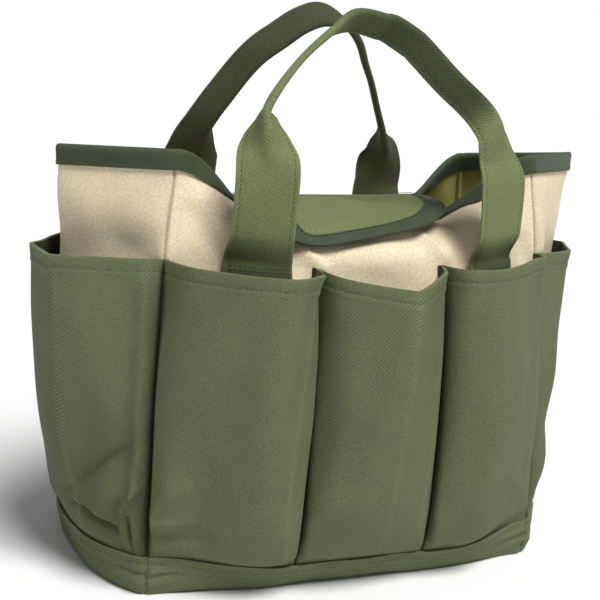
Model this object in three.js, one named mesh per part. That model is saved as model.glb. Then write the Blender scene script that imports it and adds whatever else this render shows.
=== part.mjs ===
// Garden tool bag: a soft twill tote with a ring of outer pockets, a closing flap and two carrying handles.
// Millimetres. X runs along the bag, Y from front to back, Z up. The origin is the middle of the base.
import * as THREE from "three";

// ---- Driving dimensions ----
const FABRIC = 1.6; // thickness of one layer with its coating
const GAP = 0.4; // clearance between layers that lie on each other
const STRAP_WIDTH = 40;
const GRIP_WIDTH = 20; // the strap folded in half lengthwise
const STRAP_THICKNESS = 2.4;
const GRIP_THICKNESS = 6;
const STRAP_FOOT = 224; // height at which a handle leaves the wall, and where it swings
const PATCH_THICKNESS = 1.2; // hook and loop patches
const BINDING_THICKNESS = 0.9;
const BINDING_SLACK = 1.5; // how loosely the tape wraps the rim

// Rows up a wall, from the ground to the rim, shared by every profile below.
const ROWS = 8;
const BAND_TOP = 1 / ROWS;
const POCKET_TOP = 5 / ROWS;
const WALL_BOTTOM = 0.014; // just above the base panel

// Profiles of the long walls, one point a row: how far out they stand, and how high. The flap holds the middles of
// both rims together, so the walls curl inwards there.
const FRONT_PROFILES = {
  corner: profile([[81, 0], [81.5, 27], [79, 65], [74.5, 120], [68, 178], [63, 220], [60, 243], [57, 265], [54, 285]]),
  middle: profile([[86, 0], [101, 22], [107, 60], [105, 120], [99, 176], [91, 220], [76, 234], [49, 240], [25, 238]]),
};
const BACK_PROFILES = {
  corner: profile([[81, 0], [81.5, 27], [78, 65], [71, 120], [62, 178], [54, 217], [50, 236], [46, 253], [41, 270]]),
  middle: profile([[84, 0], [93, 23], [95, 60], [91, 120], [83, 176], [74, 215], [62, 229], [43, 235], [25, 234]]),
};
// Half the length between corner seams, and how far an end wall stands out past them, one value a row.
const HALF_LENGTH = profile([[142], [142], [141], [140], [138], [136], [134], [131], [129]]);
const END_BULGE = profile([[25], [31], [37], [43], [48], [52], [56], [60], [63]]);
const TIP_LIFT = 2; // how far the middle of an end's rim stands above its corners
const END_ROUND_BASE = 2.8; // power of the end's plan curve: boxy at the base
const END_ROUND_RIM = 1.08; // almost a plain crease at the rim
const MIDDLE_FROM = { left: 0.42, right: 0.52 }; // share of the half length where the middle profile holds

// ---- Curves and surfaces ----
function profile(points) {
  return new THREE.CatmullRomCurve3(points.map(([a, b = 0, c = 0]) => new THREE.Vector3(a, b, c)), false, "catmullrom");
}

function lerp(a, b, t) {
  return a + (b - a) * t;
}

function smooth(t) {
  const k = THREE.MathUtils.clamp(t, 0, 1);
  return k * k * (3 - 2 * k);
}

// Walls are surfaces of (u, v). u runs from -1 to 1 between corner seams, anticlockwise seen from above, and v runs
// from 0 at the ground to 1 at the rim, so that along x up always points out of the bag.
function longWall(side) {
  return (u, v) => {
    const x = -side * u * HALF_LENGTH.getPoint(v).x;
    const from = x < 0 ? MIDDLE_FROM.left : MIDDLE_FROM.right;
    const middle = smooth((1 - Math.abs(u)) / (1 - from));
    const profiles = side < 0 ? FRONT_PROFILES : BACK_PROFILES;
    const place = profiles.corner.getPoint(v).lerp(profiles.middle.getPoint(v), middle);
    return new THREE.Vector3(x, side * place.x, place.y);
  };
}

function endWall(side) {
  return (u, v) => {
    const near = FRONT_PROFILES.corner.getPoint(v);
    const far = BACK_PROFILES.corner.getPoint(v);
    const back = (1 + side * u) / 2;
    const round = lerp(END_ROUND_BASE, END_ROUND_RIM, smooth(v / POCKET_TOP));
    const out = END_BULGE.getPoint(v).x * (1 - Math.abs(u) ** round);
    const height = lerp(near.y, far.y, back) + TIP_LIFT * (1 - Math.abs(u)) * v ** 2;
    return new THREE.Vector3(side * (HALF_LENGTH.getPoint(v).x + out), lerp(-near.x, far.x, back), height);
  };
}

const front = longWall(-1);
const back = longWall(1);
const left = endWall(-1);
const right = endWall(1);

// The outward normal and the upward direction of a surface at (u, v).
function directions(surface, u, v) {
  const step = 0.004;
  const low = Math.min(Math.max(v - step, 0), 1 - 2 * step);
  const along = surface(u + step, v).sub(surface(u - step, v));
  const up = surface(u, low + 2 * step).sub(surface(u, low)).normalize();
  return { out: along.cross(up).normalize(), up };
}

function offset(surface, u, v, distance) {
  return surface(u, v).addScaledVector(directions(surface, u, v).out, distance);
}

// ---- Solids ----
// A closed sheet: place(a, b, side) gives the point at share a along and b up, on side 0 or 1. Both sides are cut
// into triangles the same way, so that a twisted sheet keeps its thickness.
function bentSheet(stepsAlong, stepsUp, place) {
  const points = [];
  for (const side of [0, 1]) {
    for (let i = 0; i <= stepsAlong; i++) {
      for (let j = 0; j <= stepsUp; j++) points.push(place(i / stepsAlong, j / stepsUp, side));
    }
  }
  const at = (side, i, j) => (side * (stepsAlong + 1) + i) * (stepsUp + 1) + j;
  const index = [];
  const quad = (p, q, r, t) => index.push(p, q, r, p, r, t);
  for (let i = 0; i < stepsAlong; i++) {
    for (let j = 0; j < stepsUp; j++) {
      quad(at(1, i, j), at(1, i + 1, j), at(1, i + 1, j + 1), at(1, i, j + 1));
      index.push(at(0, i, j), at(0, i + 1, j + 1), at(0, i + 1, j));
      index.push(at(0, i, j), at(0, i, j + 1), at(0, i + 1, j + 1));
    }
    quad(at(0, i, 0), at(0, i + 1, 0), at(1, i + 1, 0), at(1, i, 0));
    quad(at(1, i, stepsUp), at(1, i + 1, stepsUp), at(0, i + 1, stepsUp), at(0, i, stepsUp));
  }
  for (let j = 0; j < stepsUp; j++) {
    quad(at(0, 0, j + 1), at(0, 0, j), at(1, 0, j), at(1, 0, j + 1));
    quad(at(0, stepsAlong, j), at(0, stepsAlong, j + 1), at(1, stepsAlong, j + 1), at(1, stepsAlong, j));
  }
  const sheet = new THREE.BufferGeometry().setFromPoints(points);
  sheet.setIndex(index);
  return facesOut(sheet);
}

// Reverses the triangles of a closed geometry whose faces point in.
function facesOut(geometry) {
  const at = geometry.getAttribute("position");
  const index = geometry.getIndex().array;
  const corner = (i) => new THREE.Vector3().fromBufferAttribute(at, index[i]);
  let volume = 0;
  for (let i = 0; i < index.length; i += 3) {
    volume += corner(i).dot(corner(i + 1).cross(corner(i + 2)));
  }
  for (let i = 0; volume < 0 && i < index.length; i += 3) {
    [index[i], index[i + 1]] = [index[i + 1], index[i]];
  }
  return geometry;
}

// Layers that lie on each other share these lines of u and v, so that their facets are parallel and stay clear.
const ROW = 0.5 / ROWS;
const evenly = (count, from, to) => Array.from({ length: count + 1 }, (_, i) => lerp(from, to, i / count));
const ROW_LINES = [WALL_BOTTOM, ...evenly(2 * ROWS, 0, 1)].sort();
const LONG_COLUMNS = evenly(20, -1, 1);
const END_COLUMNS = evenly(10, -1, 1);
const LINE_MARGIN = 0.006;

// The ends of a span and the lines between them.
function linesIn(lines, [from, to]) {
  return [from, ...lines.filter((line) => line > from + LINE_MARGIN && line < to - LINE_MARGIN), to];
}

// A layer of fabric between two stand-off distances of a surface.
function layer(surface, across, upward, [inner, outer], columns = LONG_COLUMNS) {
  const us = linesIn(columns, across);
  const vs = linesIn(ROW_LINES, upward);
  return bentSheet(us.length - 1, vs.length - 1, (a, b, side) =>
    offset(surface, us[Math.round(a * (us.length - 1))], vs[Math.round(b * (vs.length - 1))], side ? outer : inner));
}

const OVER = [GAP, GAP + FABRIC]; // a layer that lies on a wall

// ---- Materials ----
const FINISHES = {
  beige: { color: 0xc9b79c, roughness: 0.85 },
  green: { color: 0x5a6b4b, roughness: 0.85 },
  binding: { color: 0x2f4438, roughness: 0.75 },
  board: { color: 0xb8b2a4, roughness: 0.9 },
  hook: { color: 0x2b322c, roughness: 0.95 },
};
const bag = new THREE.Group();

function add(name, geometry, finish) {
  const material = new THREE.MeshStandardMaterial({ ...FINISHES[finish], metalness: 0 });
  const mesh = new THREE.Mesh(geometry, material);
  mesh.name = name;
  bag.add(mesh);
}

// ---- Base ----
// A flat plate that fills the plan of the walls at the ground, kept clear of them by an inset.
function basePlate(bottom, thickness, inset) {
  const steps = 12;
  const outline = new THREE.Shape();
  for (const surface of [front, right, back, left]) {
    for (let i = 0; i < steps; i++) {
      const { x, y } = offset(surface, lerp(-0.95, 0.95, i / (steps - 1)), 0, -inset);
      if (outline.curves.length || outline.currentPoint.lengthSq()) outline.lineTo(x, y);
      else outline.moveTo(x, y);
    }
  }
  const plate = new THREE.ExtrudeGeometry(outline, { depth: thickness, bevelEnabled: false });
  return plate.translate(0, 0, bottom);
}

const BOARD_THICKNESS = 3;
add("base_panel", basePlate(0, FABRIC, 0.5), "green");
add("base_board", basePlate(FABRIC + GAP, BOARD_THICKNESS, 5), "board");

// ---- Walls, base band and rim binding ----
// A tape folded over the rim of a wall: its section runs up the outside, over the edge and down the inside.
function rimBinding(surface, us) {
  const skins = [0, BINDING_THICKNESS].map((grow) => {
    const out = GAP + grow;
    const inside = -FABRIC - BINDING_SLACK - out;
    return [[out, false], [out, true], [inside, true], [inside, false]];
  });
  const folds = skins[0].length - 1;
  return bentSheet(us.length - 1, folds, (a, b, side) => {
    const u = us[Math.round(a * (us.length - 1))];
    const [stand, overEdge] = skins[side][Math.round(b * folds)];
    if (!overEdge) return offset(surface, u, 1 - ROW, stand);
    return offset(surface, u, 1, stand).addScaledVector(directions(surface, u, 1).up, skins[side][0][0]);
  });
}

const LONG = { span: [-0.995, 0.995], rimSpan: [-0.985, 0.985], columns: LONG_COLUMNS };
const END = { span: [-0.965, 0.965], rimSpan: [-0.9, 0.9], columns: END_COLUMNS };
const WALLS = { front: [front, LONG], back: [back, LONG], left_end: [left, END], right_end: [right, END] };
for (const [name, [surface, { span, rimSpan, columns }]] of Object.entries(WALLS)) {
  add(`${name}_panel`, layer(surface, span, [WALL_BOTTOM, 1], [-FABRIC, 0], columns), "beige");
  add(`${name}_base_band`, layer(surface, span, [0, BAND_TOP - 0.003], OVER, columns), "green");
  add(`${name}_rim_binding`, rimBinding(surface, linesIn(columns, rimSpan)), "binding");
}

// ---- Pockets ----
// A pocket is one strip, sewn to the wall at both sides and along its bottom, and wider than the wall behind it.
// `face` and `fold` are the plan of its mouth either side of its crease, as [share across, share of the depth].
// It stands out by `depth` at the mouth and by nothing at the bottom, and `sag` lowers the middle of the mouth.
const POCKET_CLEARANCE = 0.9;
const FULL = {
  face: [[0, 0], [0.12, 0.78], [0.35, 1], [0.65, 1], [0.96, 0.66]],
  fold: [[0.96, 0.66], [0.985, 0.3], [1, 0]],
};

function pocket(surface, span, out, { face, fold, depth, sag, steps: [faceSteps, foldSteps] = [9, 4] }) {
  const [faceCurve, foldCurve] = [face, fold].map((plan) =>
    new THREE.SplineCurve(plan.map(([across, share]) => new THREE.Vector2(across, share))));
  const steps = faceSteps + foldSteps;
  const strip = (a, v) => {
    const step = THREE.MathUtils.clamp(a, 0, 1) * steps;
    const { x: across, y: share } = step < faceSteps
      ? faceCurve.getPoint(step / faceSteps)
      : foldCurve.getPoint((step - faceSteps) / foldSteps);
    const rise = Math.max((v - BAND_TOP) / (POCKET_TOP - BAND_TOP), 0);
    return surface(lerp(...span, across), v).addScaledVector(out, depth * share * rise);
  };
  const rows = linesIn(ROW_LINES, [BAND_TOP, POCKET_TOP]);
  return bentSheet(steps, rows.length - 1, (a, b, side) => {
    const row = rows[Math.round(b * (rows.length - 1))];
    const droop = b === 1 ? sag * Math.sin(Math.PI * a) : 0;
    return offset(strip, a, row - droop, POCKET_CLEARANCE + side * FABRIC);
  });
}

const DIVIDER = 1 / 3; // share of the half length at which the long walls' pockets meet
const SEAM = 0.018; // half the space between two pockets at a divider
const FORWARD = new THREE.Vector3(0, -1, 0);
const LONG_POCKETS = {
  left: { span: [-0.985, -DIVIDER - SEAM], depth: 42, sag: 0.012 },
  middle: { span: [-DIVIDER + SEAM, DIVIDER - SEAM], depth: 34, sag: 0.03 },
  right: { span: [DIVIDER + SEAM, 0.985], depth: 26, sag: 0.01 },
};
for (const [name, { span, depth, sag }] of Object.entries(LONG_POCKETS)) {
  add(`front_${name}_pocket`, pocket(front, span, FORWARD, { ...FULL, depth, sag }), "green");
  const behind = span.map((u) => -u).reverse();
  add(`back_${name}_pocket`, pocket(back, behind, FORWARD.clone().negate(), { ...FULL, depth: 26, sag }), "green");
}

const END_POCKET_SPAN = [-0.95, 0.95];
const RIGHT_END_MOUTH = {
  face: [[0, 0], [0.1, 0.5], [0.22, 1]],
  fold: [[0.22, 1], [0.5, 0.42], [0.8, 0.32], [1, 0]],
  steps: [4, 9],
};
const mirrored = (plan) => plan.map(([across, share]) => [1 - across, share]).reverse();
const LEFT_END_MOUTH = { face: mirrored(RIGHT_END_MOUTH.fold), fold: mirrored(RIGHT_END_MOUTH.face), steps: [9, 4] };
const sideways = (side) => new THREE.Vector3(side, 0, 0);
add("left_end_pocket", pocket(left, END_POCKET_SPAN, sideways(-1), { ...LEFT_END_MOUTH, depth: 44, sag: 0 }), "green");
add("right_end_pocket", pocket(right, END_POCKET_SPAN, sideways(1), { ...RIGHT_END_MOUTH, depth: 20, sag: 0.02 }),
  "green");

// ---- Handles ----
// Each handle is one strap: two flat legs sewn to the wall inside the pockets, and a grip folded in half lengthwise.
// A station is a point of its centre line, with the turn of its width from the plane of the arch, and its width.
const TURN_LEG = 17;
const TURN_EDGEWISE = 78;
const TURN_BROAD = 24;
const NARROWER = 0.92; // the grip turns broadside on its right, and stands in there
const ARCH_POWER = 1.45; // below 2: the arch is more pointed than an ellipse

function handleStations({ half, foot, neck, apex, lean, peak }) {
  const leg = (side, height, inward, turn, width) => [[side * half, -foot + inward, height], turn, width];
  const stations = [
    leg(-1, STRAP_FOOT, 0, TURN_LEG, STRAP_WIDTH),
    leg(-1, lerp(STRAP_FOOT, neck, 0.4), 2, TURN_LEG, STRAP_WIDTH),
    leg(-1, neck - 24, 9, TURN_LEG, STRAP_WIDTH),
    leg(-0.98, neck - 2, 16, TURN_EDGEWISE - 20, GRIP_WIDTH + 3),
  ];
  for (const share of [-0.8, -0.5, -0.2, 0.15, 0.5, 0.8]) {
    const rise = 1 - Math.abs(share) ** ARCH_POWER;
    const x = (share * (share > 0 ? NARROWER : 1) + peak * rise) * half;
    const at = [x, lerp(-foot + 16, -lean, rise), lerp(neck, apex, rise)];
    stations.push([at, share < -0.1 ? TURN_EDGEWISE : TURN_BROAD, GRIP_WIDTH]);
  }
  stations.push(
    leg(NARROWER, neck - 9, 15, TURN_BROAD, GRIP_WIDTH + 2),
    leg(1.01, neck - 34, 9, TURN_LEG, 0.78 * STRAP_WIDTH),
    leg(1.03, lerp(STRAP_FOOT, neck, 0.38), 2, TURN_LEG, 0.94 * STRAP_WIDTH),
    leg(1.02, STRAP_FOOT, 0, TURN_LEG, STRAP_WIDTH),
  );
  return stations;
}

// The strap of a front handle; about = 180 turns the whole handle round the vertical for the back.
function handle(shape, about) {
  const stations = handleStations(shape);
  const centre = profile(stations.map(([at]) => at));
  const section = profile(stations.map(([, turn, width]) => [THREE.MathUtils.degToRad(turn), width]));
  const depthward = new THREE.Vector3(0, 1, 0);
  const strap = bentSheet(48, 2, (a, b, side) => {
    const { x: turn, y: width } = section.getPoint(a);
    const tangent = centre.getTangent(a);
    const outside = tangent.clone().cross(depthward).normalize();
    const across = outside.multiplyScalar(Math.cos(turn)).addScaledVector(depthward, Math.sin(turn)).normalize();
    const normal = tangent.cross(across).normalize();
    const folded = smooth((STRAP_WIDTH - width) / (STRAP_WIDTH - GRIP_WIDTH));
    const thickness = lerp(STRAP_THICKNESS, GRIP_THICKNESS, folded);
    return centre.getPoint(a).addScaledVector(across, (b - 0.5) * width).addScaledVector(normal, (side - 0.5) * thickness);
  });
  return strap.rotateZ(THREE.MathUtils.degToRad(about));
}

const FRONT_HANDLE = { half: 85, foot: 96, neck: 314, apex: 377, lean: 47, peak: -0.13 };
const BACK_HANDLE = { half: 78, foot: 80, neck: 288, apex: 369, lean: 38, peak: -0.2 };
add("front_handle", handle(FRONT_HANDLE, 0), "green");
add("back_handle", handle(BACK_HANDLE, 180), "green");

// The sewn ends of the straps, on the walls behind the pockets.
const SEWN_ROWS = [0.4, 0.622];
function sewnEnd(surface, x) {
  const [middle, half] = [x, STRAP_WIDTH / 2].map((length) => length / HALF_LENGTH.getPoint(POCKET_TOP).x);
  return layer(surface, [middle - half, middle + half], SEWN_ROWS, [GAP, GAP + STRAP_THICKNESS]);
}
add("front_left_strap_end", sewnEnd(front, -FRONT_HANDLE.half), "green");
add("front_right_strap_end", sewnEnd(front, FRONT_HANDLE.half), "green");
add("back_left_strap_end", sewnEnd(back, BACK_HANDLE.half), "green");
add("back_right_strap_end", sewnEnd(back, -BACK_HANDLE.half), "green");

// ---- Flap ----
// The flap runs from the back rim over the mouth and down the front wall. Its surface has u from left to right and v
// from the free edge to the hinge.
const FLAP_HALF_WIDTH = 78;
const FLAP_PATH = profile([[0, -92, 235], [0, -78, 245.5], [0, -48, 250.5], [0, -10, 248], [0, 26, 242]]);
const FLAP_SHORTEST = 0.24; // share of the length left at its two sides
const FLAP_SKEW = 0.05; // the flap sits a little askew: longer at the left
const FLAP_TILT = 2.5; // and lower
const FLAP_CORNER = 2.6; // power of the free edge's plan curve

function flapSurface(u, v) {
  const reach = FLAP_SHORTEST + (1 - FLAP_SHORTEST) * Math.max(1 - Math.abs(u) ** FLAP_CORNER, 0) ** 0.6;
  const point = FLAP_PATH.getPoint(1 - reach * (1 - v) * (1 - FLAP_SKEW * u));
  return point.setX(u * FLAP_HALF_WIDTH).setZ(point.z - FLAP_TILT * (1 - u) * (1 - u * u) * (1 - v));
}

const FLAP_EDGE = 0.96; // the binding covers the rest
add("flap", layer(flapSurface, [-FLAP_EDGE, FLAP_EDGE], [0.04, 1], [0, FABRIC]), "green");
add("flap_hook_patch", layer(flapSurface, [-0.42, 0.42], [0.08, 0.24], [-GAP - PATCH_THICKNESS, -GAP]), "hook");
add("front_loop_patch", layer(front, [-0.25, 0.25], [0.69, 0.79], [GAP, GAP + PATCH_THICKNESS]), "hook");

export default bag;
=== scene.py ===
"""Garden tool bag: the cloth, tape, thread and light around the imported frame.

Shapes are worked out in millimetres, in the frame's own axes (X along the bag, Y from front to back, Z up).
They are turned into metres when a mesh is made.
"""
import math
import bpy
import numpy as np
from mathutils import Matrix, Vector


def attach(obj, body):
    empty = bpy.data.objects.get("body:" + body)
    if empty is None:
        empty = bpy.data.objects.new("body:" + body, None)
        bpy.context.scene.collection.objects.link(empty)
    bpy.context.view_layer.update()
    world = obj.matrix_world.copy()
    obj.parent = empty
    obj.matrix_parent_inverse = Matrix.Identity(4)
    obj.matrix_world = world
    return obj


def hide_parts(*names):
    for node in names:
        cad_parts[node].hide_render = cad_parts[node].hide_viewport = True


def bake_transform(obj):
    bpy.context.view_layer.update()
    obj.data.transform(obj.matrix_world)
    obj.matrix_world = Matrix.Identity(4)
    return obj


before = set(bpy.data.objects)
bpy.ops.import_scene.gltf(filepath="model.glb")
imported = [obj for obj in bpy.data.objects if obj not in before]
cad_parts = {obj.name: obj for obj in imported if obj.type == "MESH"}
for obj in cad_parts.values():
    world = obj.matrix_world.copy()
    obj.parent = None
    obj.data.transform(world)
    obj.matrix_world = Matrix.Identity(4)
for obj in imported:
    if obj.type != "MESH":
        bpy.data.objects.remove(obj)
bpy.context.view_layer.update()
MM = 0.001

# ---- Driving dimensions, the same as the frame's ----
STRAP_WIDTH = 40
STRAP_THICKNESS = 2.4
STRAP_FOOT = 224  # height at which a strap comes off its wall
ROWS = 8
BAND_TOP = 1 / ROWS
POCKET_TOP = 5 / ROWS
WALL_BOTTOM = 0.014
TIP_LIFT = 2  # how much higher the rim is at the middle of an end than at its corners
END_ROUND_BASE = 2.8  # how square the plan of an end is at the ground: 2 is a parabola
END_ROUND_RIM = 1.08  # and above the pockets
MIDDLE_FROM_LEFT = 0.42  # where the inward curl of a long wall is full, as a share of its half length
MIDDLE_FROM_RIGHT = 0.52
DIVIDER = 1 / 3  # share of the half length at which the long walls' pockets meet
DIVIDER_SEAM = 0.0005

# ---- Sewing ----
STEP = 2.6  # size of a mesh cell on plain cloth
FINE_STEP = 0.9  # and where a hem, fold or seam needs it
STITCH_PITCH = 2.9
STITCH_LENGTH = 2.1
STITCH_RADIUS = 0.27
HEM = 13  # depth of the turned-in cloth at a pocket's mouth
HEM_STITCH = 8
TAPE_STITCH = 1.8  # from the tape's lower edge
BAND_STITCHES = (4.0, 9.5)  # from the band's top edge
STRAP_STITCH = 3.2  # from the strap's edge
STITCH_DIP = 0.9  # reach of the groove that a row of stitches pulls into the cloth


# ---- Curves ----
def profile(points):
    """A smooth curve through the points, a row apart, as a function of the share of the way along it."""
    knots = np.array(points, float)
    knots = np.vstack([2 * knots[0] - knots[1], knots, 2 * knots[-1] - knots[-2]])
    last = len(points) - 1

    def at(share):
        t = np.clip(np.asarray(share, float), 0, 1) * last
        i = np.minimum(t.astype(int), last - 1)
        w = (t - i)[..., None]
        p, q, r, s = (knots[i + k] for k in range(4))
        line = 2 * q + (r - p) * w
        return 0.5 * (line + (2 * p - 5 * q + 4 * r - s) * w**2 + (3 * q - p - 3 * r + s) * w**3)

    return at


def lerp(a, b, t):
    return a + (b - a) * t


def smooth(t):
    k = np.clip(t, 0, 1)
    return k * k * (3 - 2 * k)


def bump_at(x, centre, reach):
    """1 at centre, falling softly to 0 over reach."""
    return np.exp(-(((x - centre) / reach) ** 2))


def unit(vectors):
    return vectors / np.maximum(np.linalg.norm(vectors, axis=-1, keepdims=True), 1e-9)


def graded(length, step=STEP, fine=()):
    """Places from 0 to length, a step apart, and closer about each (place, reach) in fine."""
    t = np.linspace(0, length, 1500)
    density = np.full_like(t, 1 / step)
    for place, reach in fine:
        density += (1 / FINE_STEP - 1 / step) * bump_at(t, place, reach)
    total = np.concatenate([[0], np.cumsum((density[1:] + density[:-1]) / 2 * np.diff(t))])
    return np.interp(np.linspace(0, total[-1], int(np.ceil(total[-1])) + 1), total, t)


def arc_length(points, axis=0):
    """How far each point is from the first one, along a line or along each line of a grid."""
    steps = np.linalg.norm(np.diff(points, axis=axis), axis=-1)
    return np.concatenate([np.zeros_like(np.take(steps, [0], axis)), np.cumsum(steps, axis=axis)], axis)


def between(at, along, values):
    """Rows of values at the places in `at`, from the rows that lie at the places in `along`."""
    return np.stack([np.interp(at, along, column) for column in values.T], 1)


def lattice(first, second):
    return np.meshgrid(first, second, indexing="ij")


def place_object(name, data):
    item = bpy.data.objects.new(name, data)
    bpy.context.scene.collection.objects.link(item)
    return item


# ---- The bag's walls as surfaces of (u, v) ----
# u runs from -1 to 1 between corner seams, anticlockwise from above.
# v runs from 0 at the ground to 1 at the rim.
# A profile gives the distance from the middle plane and the height, row by row.
FRONT_PROFILES = {
    "corner": profile([(81, 0), (81.5, 27), (79, 65), (74.5, 120), (68, 178),
                       (63, 220), (60, 243), (57, 265), (54, 285)]),
    "middle": profile([(86, 0), (101, 22), (107, 60), (105, 120), (99, 176),
                       (91, 220), (76, 234), (49, 240), (25, 238)]),
}
BACK_PROFILES = {
    "corner": profile([(81, 0), (81.5, 27), (78, 65), (71, 120), (62, 178),
                       (54, 217), (50, 236), (46, 253), (41, 270)]),
    "middle": profile([(84, 0), (93, 23), (95, 60), (91, 120), (83, 176),
                       (74, 215), (62, 229), (43, 235), (25, 234)]),
}
HALF_LENGTH = profile([[142], [142], [141], [140], [138], [136], [134], [131], [129]])
END_BULGE = profile([[25], [31], [37], [43], [48], [52], [56], [60], [63]])


def long_wall(side):
    profiles = FRONT_PROFILES if side < 0 else BACK_PROFILES

    def surface(u, v):
        x = -side * u * HALF_LENGTH(v)[..., 0]
        start = np.where(x < 0, MIDDLE_FROM_LEFT, MIDDLE_FROM_RIGHT)
        middle = smooth((1 - abs(u)) / (1 - start))[..., None]
        place = lerp(profiles["corner"](v), profiles["middle"](v), middle)
        return np.stack([x, side * place[..., 0], place[..., 1]], -1)

    return surface


def end_wall(side):
    def surface(u, v):
        near = FRONT_PROFILES["corner"](v)
        far = BACK_PROFILES["corner"](v)
        back = (1 + side * u) / 2
        power = lerp(END_ROUND_BASE, END_ROUND_RIM, smooth(v / POCKET_TOP))
        x = side * (HALF_LENGTH(v)[..., 0] + END_BULGE(v)[..., 0] * (1 - abs(u) ** power))
        y = lerp(-near[..., 0], far[..., 0], back)
        height = lerp(near[..., 1], far[..., 1], back) + TIP_LIFT * (1 - abs(u)) * v**2
        return np.stack([x, y, height], -1)

    return surface


front = long_wall(-1)
back = long_wall(1)
left = end_wall(-1)
right = end_wall(1)


def normals(points):
    """Unit normals of a grid of points whose first axis runs along and whose second runs up."""
    return unit(np.cross(np.gradient(points, axis=0), np.gradient(points, axis=1)))


def raised(points, height):
    """A grid of points moved outwards by a height that may vary over it."""
    return points + normals(points) * (np.ones(points.shape[:2]) * height)[..., None]


def even_lines(surface, v, span, fine=()):
    """Values of u along row v whose points lie a step apart; fine gives distances from the start."""
    dense = np.linspace(*span, 600)
    along = arc_length(surface(dense, np.full_like(dense, v)))
    return np.interp(graded(along[-1], fine=fine), along, dense)


def even_rows(surface, u, span, fine=()):
    """Values of v up column u whose points lie a step apart; fine gives distances below the top."""
    dense = np.linspace(*span, 600)
    up = arc_length(surface(np.full_like(dense, u), dense))
    return np.interp(graded(up[-1], fine=[(up[-1] - place, reach) for place, reach in fine]), up, dense)


# ---- Folds, dents and unevenness, all as heights along the outward normal ----
def ripple(x, y, scale, seed):
    """Smooth, repeatable unevenness between about -1 and 1, with waves about `scale` long."""
    draw = np.random.default_rng(seed)
    total = np.zeros_like(x)
    waves = 7
    for _ in range(waves):
        angle, phase = draw.uniform(0, 2 * math.pi, 2)
        number = 2 * math.pi / (scale * draw.uniform(0.7, 1.6))
        total += np.sin(number * (x * math.cos(angle) + y * math.sin(angle)) + phase)
    return total / math.sqrt(waves)


def dent(x, y, at, size, depth, turn=0):
    """A soft hollow at `at`; a negative depth swells."""
    c, s = math.cos(math.radians(turn)), math.sin(math.radians(turn))
    a = ((x - at[0]) * c + (y - at[1]) * s) / size[0]
    b = ((y - at[1]) * c - (x - at[0]) * s) / size[1]
    return -depth * np.exp(-(a * a + b * b))


def fold(x, y, start, end, width, height, sharp=1.0):
    """A ridge along the line from start to end that dies away at both; sharp below 1 makes it a soft roll."""
    ax, ay = end[0] - start[0], end[1] - start[1]
    length = math.hypot(ax, ay)
    ax, ay = ax / length, ay / length
    t = (x - start[0]) * ax + (y - start[1]) * ay
    d = abs((x - start[0]) * ay - (y - start[1]) * ax)
    fade = np.sin(np.clip(t / length, 0, 1) * math.pi) ** 0.7
    roll = np.exp(-((d / width) ** 2))
    edge = np.exp(-d / width)
    return height * fade * lerp(roll, edge, sharp)


# ---- Meshes ----
def grid_faces(rows, columns, offset, flip):
    i, j = lattice(np.arange(rows - 1), np.arange(columns - 1))
    a = (offset + i * columns + j).ravel()
    quads = np.stack([a, a + columns, a + columns + 1, a + 1], 1)
    return quads[:, ::-1] if flip else quads


def strip_faces(ring_a, ring_b):
    """Quads between two open lines of vertex numbers."""
    return np.stack([ring_a[:-1], ring_a[1:], ring_b[1:], ring_b[:-1]], 1)


def make_object(name, points, faces, material_of_face, materials, attributes, sharp_angle=55):
    mesh = bpy.data.meshes.new(name)
    mesh.from_pydata((points * MM).tolist(), [], faces.tolist() if hasattr(faces, "tolist") else faces)
    for material in materials:
        mesh.materials.append(material)
    if material_of_face is not None:
        mesh.polygons.foreach_set("material_index", np.asarray(material_of_face, np.int32))
    for key, values in attributes.items():
        kind, field = ("FLOAT", "value") if values.ndim == 1 else ("FLOAT_VECTOR", "vector")
        layer = mesh.attributes.new(key, kind, "POINT")
        layer.data.foreach_set(field, np.asarray(values, np.float32).ravel())
    mesh.validate()
    mesh.shade_smooth()
    mesh.set_sharp_from_angle(angle=math.radians(sharp_angle))
    return place_object(name, mesh)


def flat_place(across, up):
    """Places on the flat cloth, in metres, as the materials read them."""
    across, up = np.broadcast_arrays(across, up)
    return np.stack([across, up, np.zeros_like(up)], -1) * MM


def fabric_place(points):
    """Each point's place on the flat cloth, in metres: along each row from its middle, and up each column."""
    along = arc_length(points)
    along = along - along[len(points) // 2]
    return flat_place(along, arc_length(points, 1))


def flat_area(points):
    """Area of the cloth through a grid of points, in square metres."""
    a = points[1:, :-1] - points[:-1, :-1]
    b = points[:-1, 1:] - points[:-1, :-1]
    c = points[1:, 1:] - points[:-1, 1:]
    d = points[1:, 1:] - points[1:, :-1]
    doubled = np.linalg.norm(np.cross(a, b), axis=-1) + np.linalg.norm(np.cross(c, d), axis=-1)
    return doubled.sum() / 2 * MM**2


def cloth_sheet(name, points, materials, inner=-0.6, outer=0.6, wear_and_shade=None, place=None):
    """A closed sheet about a grid of points, between two stand-offs, which may vary over the grid."""
    n, m = points.shape[:2]
    count = n * m
    skins = [raised(points, distance) for distance in (outer, inner)]
    faces = [grid_faces(n, m, 0, False), grid_faces(n, m, count, True)]
    at = np.arange(count).reshape(n, m)
    edges = (at[:, 0][::-1], at[:, -1], at[0], at[-1][::-1])
    faces += [strip_faces(edge, edge + count) for edge in edges]
    lining = len(materials) - 1
    slots = np.repeat([0, lining] + [0] * len(edges), [len(f) for f in faces])
    cloth = (fabric_place(points) if place is None else place).reshape(-1, 3)
    # Paler where the cloth is rubbed, above 0; darker with painted shade, below 0.
    tone_shift = np.zeros((n, m)) if wear_and_shade is None else wear_and_shade
    attributes = {"cloth": np.vstack([cloth, cloth]), "wear_and_shade": np.concatenate([tone_shift.ravel()] * 2)}
    vertices = np.vstack([skin.reshape(-1, 3) for skin in skins])
    return make_object(name, vertices, np.vstack(faces), slots, materials, attributes)


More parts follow.
